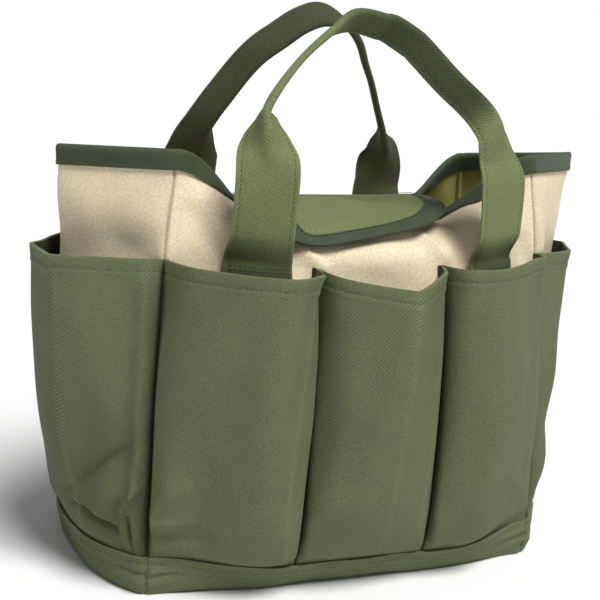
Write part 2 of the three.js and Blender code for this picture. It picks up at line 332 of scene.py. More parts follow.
def settle(piece, node, body="bag"):
    """Ties a piece to its body and hides the frame's node that it stands for."""
    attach(piece, body)
    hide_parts(node)


def declare_sheet(piece, points, flat=None):
    """Works out how large the cloth was cut, flat in millimetres or else its greatest width and length, and
    its area; nothing uses them.
    """
    width = np.linalg.norm(np.diff(points, axis=0), axis=-1).sum(0).max()
    length = np.linalg.norm(np.diff(points, axis=1), axis=-1).sum(1).max()
    width, length = (float(side) * MM for side in ((width, length) if flat is None else flat))
    area = min(flat_area(points), 0.999 * width * length)


# ---- Stitches ----
def stitch_row(points, out, lift):
    """The stitches along a line of surface points, as (middle, outward, forward) arrays."""
    along = arc_length(points)
    count = max(int(along[-1] / STITCH_PITCH), 1)
    t = (np.arange(count) + 0.5) * along[-1] / count
    outward = unit(between(t, along, out))
    forward = unit(between(t, along, np.gradient(points, axis=0)))
    return between(t, along, points) + outward * lift, outward, forward


# Rings of one stitch: (share of its length, width and lift, both in radii). Its ends dive into the cloth.
SPINDLE = [(-0.5, 0.35, -0.45), (-0.3, 1.0, 0.1), (0.0, 1.1, 0.3), (0.3, 1.0, 0.1), (0.5, 0.35, -0.45)]


def make_stitches(name, rows):
    """One mesh of short threads, from rows made by stitch_row."""
    middle, outward, forward = (np.vstack(part) for part in zip(*rows))
    sideways = np.cross(forward, outward)
    sides = 6
    rings = []
    for share, width, lift in SPINDLE:
        for k in range(sides):
            angle = 2 * math.pi * k / sides
            radial = sideways * math.cos(angle) + outward * math.sin(angle)
            rings.append(middle + forward * share * STITCH_LENGTH + radial * width * STITCH_RADIUS
                         + outward * lift * STITCH_RADIUS)
    per = len(rings)
    points = np.stack(rings, 1).reshape(-1, 3)
    one = []
    for s in range(len(SPINDLE) - 1):
        for k in range(sides):
            a, b = s * sides + k, s * sides + (k + 1) % sides
            one.append((a, a + sides, b + sides, b))
    caps = [tuple(range(sides)), tuple(range(per - 1, per - sides - 1, -1))]
    faces = []
    for i in range(len(middle)):
        faces += [tuple(i * per + v for v in face) for face in one + caps]
    cloth = np.repeat(middle, per, axis=0) * MM
    return make_object(name, points, faces, None, [THREAD], {"cloth": cloth}, sharp_angle=80)


# ---- Materials ----
PAINTED_SHADE_TONE = 0.22  # what is left of a colour where shade is painted in: in seams, beside pockets, on the ends, on the grips and at the straps' feet
WORN_TONE = 1.55  # how pale it gets where it is worn
MIDDLE_NOISE = (0.3, 0.7)  # the span that nearly all of a noise lies in
TWILL_PITCH = 1.25
TWILL_SLANT = -48
STRAP_SLANT = -44
WAVES_PER_SCALE = math.pi / 10  # the wave texture's scale that gives one stripe for each unit


class Shader:
    """A material and the nodes behind it. Sizes are in millimetres."""

    def __init__(self, name):
        self.material = bpy.data.materials.new(name)
        self.material.use_nodes = True
        self.tree = self.material.node_tree
        self.surface = self.tree.nodes["Principled BSDF"]

    def add(self, kind, inputs=None, **settings):
        node = self.tree.nodes.new("ShaderNode" + kind)
        for key, value in settings.items():
            setattr(node, key, value)
        for key, value in (inputs or {}).items():
            self.put(node.inputs[key], value)
        return node

    def put(self, socket, value):
        if isinstance(value, bpy.types.NodeSocket):
            self.tree.links.new(value, socket)
        else:
            socket.default_value = value

    def shade(self, **values):
        for key, value in values.items():
            self.put(self.surface.inputs[key.replace("_", " ")], value)
        return self.material

    def math(self, operation, a, b, c=0.0):
        return self.add("Math", {0: a, 1: b, 2: c}, operation=operation).outputs[0]

    def mix(self, factor, a, b, blend="MIX"):
        node = self.add("Mix", {"Factor": factor}, data_type="RGBA", blend_type=blend)
        self.put(node.inputs[6], a)
        self.put(node.inputs[7], b)
        return node.outputs[2]

    def span(self, value, low, high, start=0.0, end=1.0):
        """value, stretched from start..end to low..high."""
        inputs = {"Value": value, "From Min": start, "From Max": end, "To Min": low, "To Max": high}
        return self.add("MapRange", inputs).outputs["Result"]

    def tones(self, pattern, colour, dark, pale):
        """colour times dark to colour times pale, along a pattern."""
        return self.mix(pattern, shaded(colour, dark), shaded(colour, pale))

    def mottled(self, tone, noise, spread):
        """tone, made uneven by up to spread either way."""
        return self.mix(1.0, tone, self.span(noise, 1 - spread, 1 + spread, *MIDDLE_NOISE), "MULTIPLY")

    # Reads the attribute that makes cloth paler where rubbed, above 0, and darker with painted shade, below
    # 0.
    def wear_and_shade(self):
        return self.add("Attribute", attribute_name="wear_and_shade").outputs["Fac"]

    def cloth(self, turn=0.0):
        """Coordinates on the flat cloth, in metres, turned by `turn` degrees."""
        place = self.add("Attribute", attribute_name="cloth").outputs["Vector"]
        inputs = {"Vector": place, "Rotation": (0, 0, math.radians(turn))}
        return self.add("Mapping", inputs).outputs["Vector"]

    def bands(self, pitch, turn=0.0, uneven=0.5):
        """Soft stripes, a pitch apart."""
        inputs = {"Vector": self.cloth(turn), "Scale": WAVES_PER_SCALE / (pitch * MM), "Distortion": uneven,
                  "Detail": 1.0, "Detail Scale": 0.6}
        return self.add("TexWave", inputs, bands_direction="X").outputs["Fac"]

    def noise(self, size, detail=3.0):
        inputs = {"Vector": self.cloth(), "Scale": 1 / (size * MM), "Detail": detail, "Roughness": 0.55}
        return self.add("TexNoise", inputs).outputs["Fac"]

    def relief(self, height, depth, strength, **below):
        inputs = {"Height": height, "Distance": depth * MM, "Strength": strength, **below}
        return self.add("Bump", inputs).outputs["Normal"]


def linear(red, green, blue):
    """A colour given in display values from 0 to 255, as the shader's linear colour."""
    shares = (c / 255 for c in (red, green, blue))
    return tuple(((c + 0.055) / 1.055) ** 2.4 if c > 0.04 else c / 12.92 for c in shares) + (1,)


def shaded(colour, factor):
    return tuple(min(c * factor, 1) for c in colour[:3]) + (1,)


def twill(name, colour, slant=TWILL_SLANT, contrast=0.5, depth=0.18, sheen=0.06):
    """Woven cloth: slanting lines cut by finer threads, mottled, paler where rubbed and darker where shade is
    painted in.
    """
    s = Shader(name)
    lines = s.bands(TWILL_PITCH, slant)
    threads = s.bands(TWILL_PITCH * 1.35, slant + 90, uneven=1.2)
    weave = s.math("MULTIPLY_ADD", threads, 0.45, s.math("MULTIPLY", lines, 0.55))
    grain = s.noise(1.8)
    tone = s.tones(weave, colour, 1 - contrast, 1 + contrast)
    tone = s.mottled(tone, s.noise(24), 0.05)
    tone = s.mottled(tone, grain, 0.16)
    wear_and_shade = s.wear_and_shade()
    patchy = s.span(s.noise(5), 0.35, 1.0, 0.35, 0.65)
    # Rubbed cloth: paler, in patches, where the attribute is above 0.
    tone_shift = s.math("MULTIPLY", s.math("MAXIMUM", wear_and_shade, 0.0), patchy)
    # Painted shade: where the attribute is below 0, the colour is darkened.
    painted_shade = s.math("MAXIMUM", s.math("MULTIPLY", wear_and_shade, -1.0), 0.0)
    tone = s.mix(tone_shift, tone, shaded(colour, WORN_TONE))
    tone = s.mix(painted_shade, tone, s.mix(1.0, tone, shaded((1, 1, 1), PAINTED_SHADE_TONE), "MULTIPLY"))
    woven = s.relief(s.math("MULTIPLY_ADD", grain, 0.35, weave), depth, 0.85)
    soft = s.relief(s.noise(11, 2.0), 0.3, 0.25, Normal=woven)
    return s.shade(Base_Color=tone, Roughness=s.span(weave, 0.92, 0.7), Normal=soft, Sheen_Weight=sheen,
                   Sheen_Roughness=0.45, Sheen_Tint=shaded(colour, 2.2), Specular_IOR_Level=0.3)


def coating(name, colour):
    """The waterproof film on the inner side: faint weave, soft gloss, blotches."""
    s = Shader(name)
    blotch = s.noise(16)
    tone = s.tones(s.span(blotch, 0, 1, 0.35, 0.65), colour, 0.86, 1.12)
    return s.shade(Base_Color=tone, Roughness=s.span(blotch, 0.42, 0.6), Specular_IOR_Level=0.4,
                   Normal=s.relief(s.bands(TWILL_PITCH, TWILL_SLANT), 0.05, 0.5))


def ribbed_tape(name, colour):
    """Grosgrain: ribs across the tape, with a fine slanting twill over them."""
    s = Shader(name)
    ribs = s.bands(1.3, uneven=0.2)
    weave = s.math("MULTIPLY_ADD", s.bands(1.1, -40), 0.4, s.math("MULTIPLY", ribs, 0.6))
    tone = s.mottled(s.tones(weave, colour, 0.62, 1.4), s.noise(14), 0.12)
    tone = s.mix(s.math("MULTIPLY", s.wear_and_shade(), 0.7), tone, shaded(colour, 1.9))
    return s.shade(Base_Color=tone, Roughness=s.span(weave, 0.85, 0.62), Normal=s.relief(weave, 0.2, 0.9),
                   Sheen_Weight=0.15, Sheen_Roughness=0.4, Specular_IOR_Level=0.35)


def thread(name, colour):
    s = Shader(name)
    twist = s.bands(0.5, 35)
    return s.shade(Base_Color=s.tones(twist, colour, 0.7, 1.25), Roughness=s.span(twist, 0.75, 0.5),
                   Specular_IOR_Level=0.4)


def fuzz(name, colour):
    """Hook or loop tape: a dense pile of tiny curls."""
    s = Shader(name)
    curls = s.add("TexVoronoi", {"Vector": s.cloth(), "Scale": 1 / (1.1 * MM)}).outputs["Distance"]
    return s.shade(Base_Color=s.tones(curls, colour, 1.6, 0.5), Roughness=s.span(curls, 0.8, 0.95),
                   Normal=s.relief(curls, 0.5, 1.0), Sheen_Weight=0.3)


def fibreboard(name, colour):
    s = Shader(name)
    fibres = s.noise(3, 6.0)
    return s.shade(Base_Color=s.tones(fibres, colour, 0.8, 1.15), Roughness=s.span(fibres, 0.7, 0.9))


GREEN = twill("green_twill", linear(94, 101, 71))
BEIGE = twill("beige_twill", linear(229, 215, 182), contrast=0.12, depth=0.12, sheen=0.15)
STRAP_GREEN = twill("strap_twill", linear(109, 117, 78), STRAP_SLANT, contrast=0.34)
# A darker copy of the strap cloth for its inner face: painted shade, where the grips turn that face outwards.
STRAP_SHADED_FACE = twill("strap_shaded_face", linear(66, 70, 46), STRAP_SLANT, contrast=0.3)
TAPE = ribbed_tape("binding_tape", linear(57, 67, 45))
GREEN_COATING = coating("green_coating", linear(56, 60, 38))
BEIGE_COATING = coating("beige_coating", linear(190, 186, 112))
THREAD = thread("green_thread", linear(74, 84, 56))
FUZZ = fuzz("hook_and_loop", linear(58, 66, 52))
BOARD = fibreboard("board", linear(180, 176, 164))

bag_stitches = []


def sew(points, out, lift):
    """Adds a row of stitches to the bag's own thread, which is made as one piece at the end."""
    bag_stitches.append(stitch_row(points, out, lift))


# ---- Walls ----
SEAM_GROOVE = 2.6  # how far the panels dip towards the seam they share
GROOVE_REACH = 1.3


def seam_groove(u, half):
    return -SEAM_GROOVE * bump_at((1 - abs(u)) * half, 0, GROOVE_REACH)


# The folds of each wall's cloth above its pockets, as heights at places (along the wall, up).
def front_folds(x, z):
    high = smooth((z - 196) / 20)
    shape = dent(x, z, (-104, 232), (7, 12), 4, 15)
    shape += fold(x, z, (-127, 262), (-98, 252), 7, 2.0, 0)
    shape += fold(x, z, (-62, 238), (-34, 214), 4, 4.5, 0.6) + dent(x, z, (-64, 222), (8, 9), 4)
    shape += dent(x, z, (0, 226), (30, 9), -3.5) + fold(x, z, (-6, 236), (38, 238), 3.5, 3.5, 0.5)
    shape += fold(x, z, (32, 240), (54, 221), 3.5, 5, 0.6) + dent(x, z, (64, 229), (9, 15), 6, -20)
    shape += fold(x, z, (76, 216), (92, 252), 8, 3.0, 0.1) + dent(x, z, (124, 226), (7, 12), 4)
    shape += fold(x, z, (118, 266), (112, 232), 6, 2.5, 0.2)
    return shape * high + 0.8 * high * ripple(x, z, 42, 3)


def back_folds(x, z):
    high = smooth((z - 190) / 20)
    shape = fold(x, z, (-60, 236), (-42, 214), 5, 3, 0.5) + fold(x, z, (58, 238), (44, 214), 5, 3, 0.5)
    shape += dent(x, z, (100, 232), (10, 14), 3.5) + dent(x, z, (-101, 230), (9, 13), 3)
    return shape * high + 0.9 * high * ripple(x, z, 40, 8)


def left_folds(y, z):
    high = smooth((z - 185) / 25)
    near = smooth((10 - y) / 30)  # the far half makes the outline, which is plain
    shape = dent(y, z, (-44, 226), (14, 12), 3.0, -12) + fold(y, z, (-56, 262), (-42, 226), 7, 1.6, 0)
    return shape * near * high + 0.9 * high * near * ripple(y, z, 46, 5)


def right_folds(y, z):
    high = smooth((z - 185) / 25)
    shape = fold(y, z, (-58, 250), (-52, 214), 6, 2.6, 0.3) + dent(y, z, (-30, 226), (9, 20), 3.0)
    return shape * high + 0.9 * high * ripple(y, z, 44, 6)


# Each wall's surface, its folds, the axis it runs along and half its length.
WALLS = {
    "front": (front, front_folds, 0, 138),
    "back": (back, back_folds, 0, 138),
    "left_end": (left, left_folds, 1, 75),
    "right_end": (right, right_folds, 1, 75),
}
CORNER_REACH = 4
COLLAR_ROW = 0.8  # the row along which a wall's points are spaced


def wall_grid(name, groove=1.0):
    """A wall's cloth with its folds: points, and how far each is from a corner seam and a pocket's seam."""
    surface, folds, axis, half = WALLS[name]
    girth = arc_length(surface(np.linspace(-1, 1, 600), np.full(600, COLLAR_ROW)))[-1]
    us = even_lines(surface, COLLAR_ROW, (-1, 1), [(0, CORNER_REACH), (girth, CORNER_REACH)])
    vs = even_rows(surface, 0.0, (WALL_BOTTOM, 1))
    u, v = lattice(us, vs)
    points = surface(u, v)
    clear_of_seam, clear_of_rim = smooth((1 - abs(u)) * 9), smooth((1 - v) * 14)
    height = folds(points[..., axis], points[..., 2]) * clear_of_seam * clear_of_rim
    height += seam_groove(u, half) * groove
    from_seam = (1 - abs(u)) * half
    from_divider = abs(abs(u) - DIVIDER) * half
    return raised(points, height), from_seam, from_divider


PANEL_FACES = (-1.4, -0.1)  # a panel's inner and outer side, from the wall's surface
SEAM_PAINTED_SHADE = 0.9  # how much painted shade darkens the cloth in a seam
END_SHADE = 0.24  # and on the ends, most low down


def make_panels():
    for name in WALLS:
        points, from_seam, from_divider = wall_grid(name)
        z = points[..., 2]
        # Painted shade along the corner seams, over the ends, and along the pockets' seams low on the long
        # walls.
        wear_and_shade = -0.85 * bump_at(from_seam, 0, 1.1)
        if name.endswith("end"):
            wear_and_shade = wear_and_shade - END_SHADE * lerp(1, 0.5, smooth((z - 200) / 75))
        else:
            wear_and_shade = wear_and_shade - SEAM_PAINTED_SHADE * bump_at(from_divider, 0, 2.5) * (1 - smooth((z - 180) / 15))
        panel = cloth_sheet(f"{name}_panel_cloth", points, [BEIGE, BEIGE_COATING], *PANEL_FACES, wear_and_shade)
        declare_sheet(panel, points)
        settle(panel, f"{name}_panel")


# ---- Base band ----
BAND_DEPTH = 24
BAND_HALF_THICK = 0.8
BAND_STAND_OFF = 2.5
LOWEST = 0.9  # the middle of its cloth comes no nearer to the ground


def make_bands():
    for name, (surface, _, axis, half) in WALLS.items():
        us = even_lines(surface, 0.06, (-1, 1), [(0, 6), (2 * half, 6)])
        vs = even_rows(surface, 0.0, (0, BAND_TOP), [(0, 3), *((place, 2) for place in BAND_STITCHES)])
        u, v = lattice(us, vs)
        points = surface(u, v)
        down = (BAND_TOP - v) / BAND_TOP * BAND_DEPTH
        along = points[..., axis]
        height = BAND_STAND_OFF + seam_groove(u, half) * 1.2 + 0.5 * ripple(along, down * 2, 34, 11 + axis)
        puckers = 1.1 * np.sin(down * 0.75 + along * 0.12)
        puckers = puckers * smooth(down / 6) * smooth((BAND_DEPTH - down) / 6)
        height += bump_at((1 - abs(u)) * half, 0, 20) * puckers
        height -= 0.35 * sum(bump_at(down, place, STITCH_DIP) for place in BAND_STITCHES)
        height -= 2.4 * smooth((down - (BAND_DEPTH - 6)) / 6)
        points = raised(points, height)
        points[..., 2] = np.maximum(points[..., 2], LOWEST)
        wear_and_shade = 0.55 * bump_at(down, 0, 1.0) + 0.3 * bump_at(down, BAND_DEPTH - 0.5, 2.0)
        thick = BAND_HALF_THICK
        band = cloth_sheet(f"{name}_base_band_cloth", points, [GREEN], -thick, thick, wear_and_shade)
        declare_sheet(band, points)
        settle(band, f"{name}_base_band")
        out = normals(points)
        for place in BAND_STITCHES:
            row = np.argmin(abs(down[0] - place))
            sew(points[:, row], out[:, row], 0.75)


# ---- Rim binding ----
TAPE_FALL = 10.5  # how far the tape hangs down the outside
TAPE_THICKNESS = 0.9
TAPE_OUTSIDE = 0.75  # how far its two sides are from the wall's surface
TAPE_INSIDE = 2.25
CROWN_RADIUS = (TAPE_INSIDE + TAPE_OUTSIDE) / 2


def hanging(grid, depths):
    """Points at the given depths below a grid's top edge, column by column."""
    return np.stack([between(depths, arc_length(column), column) for column in grid[:, ::-1]])


def make_rim_bindings():
    depths = np.linspace(0.2, TAPE_FALL, 7)
    for name in WALLS:
        grid, _, _ = wall_grid(name, groove=0.3)
        out = normals(grid)
        face = grid + out * TAPE_OUTSIDE
        outside = hanging(face, depths[::-1])
        inside = hanging(grid - out * TAPE_INSIDE, depths)
        up = unit(grid[:, -1] - grid[:, -3])
        crown = []
        for angle in np.linspace(0, math.pi, 7)[1:-1]:
            across = CROWN_RADIUS * math.cos(angle) - (CROWN_RADIUS - TAPE_OUTSIDE)
            above = CROWN_RADIUS * math.sin(angle) + 0.6
            crown.append(grid[:, -1] + out[:, -1] * across + up * above)
        points = np.concatenate([outside, np.stack(crown, axis=1), inside], axis=1)
        fall = arc_length(points[len(grid) // 2])
        wear_and_shade = np.tile(0.5 * bump_at(fall, TAPE_FALL + 2, 1.6) + 0.25 * bump_at(fall, 0, 0.8), (len(grid), 1))
        tape = cloth_sheet(f"{name}_rim_tape", points, [TAPE], inner=0.0, outer=TAPE_THICKNESS, wear_and_shade=wear_and_shade)
        declare_sheet(tape, points)
        settle(tape, f"{name}_rim_binding")
        line = hanging(face, np.array([TAPE_FALL - TAPE_STITCH]))[:, 0]
        sew(line, out[:, -5], TAPE_THICKNESS)


# ---- Pockets ----
POCKET_HEIGHT = 198
POCKET_STAND_OFF = 0.9  # of the cloth from the wall at its seams
POCKET_HALF_THICK = 0.6
HEM_INSIDE = 0.8  # how much thicker the hem is on either side
HEM_OUTSIDE = 0.45
EDGE_TUCK = 2.2  # how far a pocket's side edges turn in to the seam
EDGE_ROUND = 1.6
PUFF_REACH = 3.2  # how far from its seams a pocket's cloth has risen
SIDE_REACH = 55  # how far from its crease the cloth moves in with it, low down
CREASE_ROUND = 1.4


class Mouth:
    """The plan of a pocket's mouth: soft curves through shares (across, of the depth), joined at creases."""

    def __init__(self, *runs, depth, sag, lowest=0.5, roundness=2.0):
        """sag is how far it hangs down at its lowest share, and roundness 1 makes that a point."""
        self.runs, self.depth, self.sag = runs, depth, sag
        self.lowest, self.roundness = lowest, roundness

    def droop(self, share):
        """How far the mouth hangs down at a share of the way along it, in rows."""
        from_lowest = np.interp(share, [0, self.lowest, 1], [-1, 0, 1])
        return self.sag * (1 - abs(from_lowest) ** self.roundness)

    def trace(self, surface, span, out):
        """Lengths along the mouth, shares across and of the depth there, and the places of its creases."""
        samples = 400
        across, share = np.vstack([profile(run)(np.linspace(0, 1, samples)) for run in self.runs]).T
        rim = surface(lerp(*span, across), np.full_like(across, POCKET_TOP))
        along = arc_length(rim + np.array(out) * (self.depth * share)[:, None])
        creases = [along[samples * (k + 1) - 1] for k in range(len(self.runs) - 1)]
        even = np.linspace(0, along[-1], 4 * samples)
        reach = max(int(CREASE_ROUND / (even[1] - even[0]) * 2), 1)
        kernel = np.hanning(2 * reach + 3)[1:-1]
        kernel /= kernel.sum()
        rounded = []
        for values in (across, share):
            padded = np.pad(np.interp(even, along, values), reach, mode="reflect", reflect_type="odd")
            rounded.append(np.convolve(padded, kernel, "valid"))
        return even, *rounded, creases


def mirrored(*runs):
    return [[(1 - across, share) for across, share in reversed(run)] for run in reversed(runs)]


# Mouths: each bellies out along its face, turns at a crease and folds back to the wall.
FULL_FACE = [(0, 0), (0.12, 0.78), (0.35, 1), (0.65, 1), (0.96, 0.66)]
FULL_FOLD = [(0.96, 0.66), (0.985, 0.3), (1, 0)]
MIDDLE_FACE = [(0, 0), (0.1, 0.5), (0.3, 0.82), (0.6, 1.06)]
MIDDLE_TURN = [(0.6, 1.06), (0.8, 0.74), (0.975, 0.4)]
MIDDLE_FOLD = [(0.975, 0.4), (0.99, 0.2), (1, 0)]
END_FACE = [(0, 0), (0.1, 0.5), (0.22, 1)]
END_FOLD = [(0.22, 1), (0.5, 0.42), (0.8, 0.32), (1, 0)]


# The folds of the pockets' cloth: heights at places (from the first seam, up from the foot).
def left_pocket_folds(x, y, width):
    shape = fold(x, y, (0, 24), (46, 64), 6, 4.0, 0.5) + fold(x, y, (0, 26), (52, 36), 3.5, 3.5, 0.7)
    shape -= fold(x, y, (8, 16), (66, 28), 7, 4, 0.3)
    shape += fold(x, y, (width * 0.62, 190), (width * 0.66, 60), 14, 2.6, 0)
    return shape + fold(x, y, (width * 0.2, 180), (width * 0.3, 40), 14, -2.2, 0)


def middle_pocket_folds(x, y, width):
    shape = fold(x, y, (8, 30), (40, 66), 9, 2.2, 0.1)
    shape = shape + fold(x, y, (width * 0.58, 215), (width * 0.28, 5), 13, 5.5, 0.3)
    return shape + fold(x, y, (width * 0.2, 150), (width * 0.1, 30), 9, -3.0, 0.1)


def right_pocket_folds(x, y, width):
    shape = fold(x, y, (width * 0.3, 188), (width * 0.36, 50), 10, 1.8, 0)
    return shape + fold(x, y, (width * 0.9, 24), (width * 0.5, 60), 8, 2.4, 0.2)


def left_end_folds(x, y, width):
    near = x - width  # from the last seam, at the near corner
    shape = dent(near, y, (-36, 42), (28, 12), -8, 32) - fold(near, y, (-88, 34), (-8, 84), 4.5, 4.5, 0.7)
    shape += fold(near, y, (4, 62), (-24, 36), 4, 8, 0.8) + fold(near, y, (-16, 48), (-26, 12), 4.5, 5.5, 0.8)
    shape -= fold(near, y, (-80, 32), (-20, 19), 3.5, 6, 0.7) + fold(near, y, (-17, 36), (-11, -6), 3, 6, 0.8)
    shape += 5.5 * bump_at(near, -10, 9)
    return shape + fold(near, y, (-60, 180), (-40, 90), 16, 2.0, 0)


def right_end_folds(x, y, width):
    shape = fold(x, y, (width * 0.04, 24), (width * 0.3, 58), 7, 3.0, 0.3)
    return shape + fold(x, y, (width * 0.24, 180), (width * 0.2, 70), 9, 2.0, 0)


def crease_inset(along, crease, width, rise):
    """How much of a pocket's inset each place takes: all at the crease, and most half way up."""
    before = smooth((along - crease + SIDE_REACH) / SIDE_REACH)
    share = np.where(along < crease, before, (width - along) / (width - crease))
    return share[:, None] * np.sin(math.pi * np.clip(rise, 0, 1) ** 0.8) ** 0.8


def pocket_grid(surface, span, out, mouth, folds, seed, belly=3.0, puff=4.0, inset=0.0, crumpled=None):
    """A pocket's cloth: its points, with their places across from the first seam and down from the mouth.

    puff is how far it stands off its seams low down, and inset how far the crease moves in there. crumpled is
    where the mesh is finer: (from the seam it starts at, up from the foot, reach).
    """
    even, across, share, creases = mouth.trace(surface, span, out)
    width = even[-1]
    columns = [(crease, 3) for crease in creases] + [(0, 4), (width, 4)]
    rows = [(0, 2), (HEM_STITCH, 2), (HEM, 2)]
    if crumpled:
        start, height, reach = crumpled
        columns.append((start % width, reach))
        rows.append((POCKET_HEIGHT - height, reach))
    along = graded(width, fine=columns)
    across, share = (np.interp(along, even, values) for values in (across, share))
    v = even_rows(surface, lerp(*span, 0.5), (BAND_TOP - 0.012, POCKET_TOP), rows)[None, :]
    rise = np.clip((v - BAND_TOP) / (POCKET_TOP - BAND_TOP), 0, None)
    moved = inset * crease_inset(along, creases[-1], width, rise)
    u = lerp(*span, across)[:, None] + 0 * v
    droop = mouth.droop(along / width)[:, None] * rise**2
    points = surface(u, v - droop) - np.array((1, 0, 0)) * moved[..., None]
    points = points + np.array(out) * (mouth.depth * share[:, None] * rise)[..., None]
    up = arc_length(points[len(along) // 2])
    x, y = lattice(along, up)
    tied = smooth(x / 12) * smooth((width - x) / 12) * smooth(y / 14)
    free = smooth((up[-1] - y) / 16)
    height = folds(x, y, width) * lerp(0.25, 1, free) + 0.9 * ripple(x, y * 0.6, 48, seed)
    height += belly * np.sin(math.pi * np.clip(rise, 0, 1)) * np.sin(math.pi * x / width)
    edges = (1 - bump_at(x, 0, PUFF_REACH)) * (1 - bump_at(x, width, PUFF_REACH))
    height += puff * edges * smooth(y / 16) * (1 - smooth((rise - 0.5) / 0.5))
    turned_in = EDGE_TUCK * (bump_at(x, 0, EDGE_ROUND) + bump_at(x, width, EDGE_ROUND))
    return raised(points, height * tied + POCKET_STAND_OFF - turned_in), x, up[-1] - y, creases


SEAM_SHADE = 0.56  # how much painted shade darkens the cloth beside the seam a pocket starts at


def pocket_wear_and_shade(x, down, creases, on_end, shaded):
    """Paler at the mouth, hem and creases; darker with painted shade in the seams, beside the first of them
    and on the ends.
    """
    wear_and_shade = 0.75 * bump_at(down, 0, 1.1) + 0.2 * bump_at(down, HEM, 1.2)
    for crease in creases:
        wear_and_shade = np.maximum(wear_and_shade, 0.3 * bump_at(x, crease, 1.5))
    last = x.max()
    # Painted shade: in the seams, low on the end pockets and by their last seam, and beside a front or back
    # pocket's first seam.
    wear_and_shade = wear_and_shade - SEAM_PAINTED_SHADE * (bump_at(x, 0, 3.2) + bump_at(x, last, 2.2)) * smooth(down / 10)
    if on_end:
        wear_and_shade = wear_and_shade - END_SHADE * smooth((down - 40) / 120) - 0.4 * bump_at(x, last, 9) * smooth(down / 40)
    else:
        side = lerp(3, shaded, smooth((down.max() - down) / 100)) * smooth(down / 60 + 0.35)
        wear_and_shade = wear_and_shade - SEAM_SHADE * np.exp(-((x / side) ** 4)) - 0.15 * bump_at(x, 0, 22) * smooth(down / 60)
    return np.clip(wear_and_shade, -1, 1)


def make_pocket(name, wall, span, out, mouth, folds, seed, shaded=10, **shape):
    """shaded is how wide the painted shade beside the pocket's first seam is, half way up."""
    points, x, down, creases = pocket_grid(WALLS[wall][0], span, out, mouth, folds, seed, **shape)
    hem = smooth((HEM - down) / 1.2)
    inner = -POCKET_HALF_THICK - HEM_INSIDE * hem
    outer = POCKET_HALF_THICK + HEM_OUTSIDE * hem - 0.45 * bump_at(down, HEM_STITCH, STITCH_DIP)
    wear_and_shade = pocket_wear_and_shade(x, down, creases, wall.endswith("end"), shaded)
    place = flat_place(x - x.max() / 2, down.max() - down)
    pocket = cloth_sheet(f"{name}_cloth", points, [GREEN, GREEN_COATING], inner, outer, wear_and_shade, place)
    declare_sheet(pocket, points)
    settle(pocket, name)
    row = np.argmin(abs(down[0] - HEM_STITCH))
    sew(points[:, row], normals(points)[:, row], 0.62)


def make_pockets():
    ahead, behind = (0, -1, 0), (0, 1, 0)
    seam = DIVIDER_SEAM
    spans = [(-0.999, -DIVIDER - seam), (-DIVIDER + seam, DIVIDER - seam), (DIVIDER + seam, 0.999)]
    mouths = [
        Mouth(FULL_FACE, FULL_FOLD, depth=38, sag=-0.008),
        Mouth(MIDDLE_FACE, MIDDLE_TURN, MIDDLE_FOLD, depth=34, sag=0.024, lowest=0.56, roundness=1.15),
        Mouth(FULL_FACE, FULL_FOLD, depth=24, sag=-0.01),
    ]
    shapes = [
        {"shaded": 10, "puff": 6, "inset": 16, "crumpled": (28, 42, 24)},
        {"shaded": 26, "puff": 4.5, "inset": 10},
        {"shaded": 15, "puff": 4.5, "inset": 6},
    ]
    folds = [left_pocket_folds, middle_pocket_folds, right_pocket_folds]
    rear = Mouth(FULL_FACE, FULL_FOLD, depth=26, sag=-0.008)
    for i, name in enumerate(("left", "middle", "right")):
        start, end = spans[i]
        make_pocket(f"front_{name}_pocket", "front", (start, end), ahead, mouths[i], folds[i], 20 + i,
                    **shapes[i])
        make_pocket(f"back_{name}_pocket", "back", (-end, -start), behind, rear, folds[i], 30 + i)
    whole = (-0.995, 0.995)
    mouth = Mouth(*mirrored(END_FACE, END_FOLD), depth=44, sag=0.006)
    make_pocket("left_end_pocket", "left_end", whole, (-1, 0, 0), mouth, left_end_folds, 41,
                puff=2.5, crumpled=(-34, 40, 32))
    mouth = Mouth(END_FACE, END_FOLD, depth=20, sag=0.02)
    make_pocket("right_end_pocket", "right_end", whole, (1, 0, 0), mouth, right_end_folds, 42,
                puff=1.5, belly=-2.6)


# ---- Handles ----
BEND_REACH = 3.0  # half the width of cloth taken up by the strap's lengthwise fold
GRIP_PINCH = 2.5  # degrees by which the two halves of the grip close towards their edges
KICK_HEIGHT = 17  # height over which the strap comes away from the wall
SEWN_ROWS = (0.4, 0.634)
SEAM_DROPS = (1.5, 5.5, 26.0)  # rows of stitches across a strap's sewn end, below its top
OPENING = (0.75, 0.38)  # how far the grip is still folded at the last points of its arch
STRAP_STEP = 2.2
FOOT_SHADE = 0.82  # how much painted shade darkens a strap where it dips into its pocket
FOOT_SHADE_TOP = 239  # height at which that has faded
FOOT_SHADE_FADE = 26

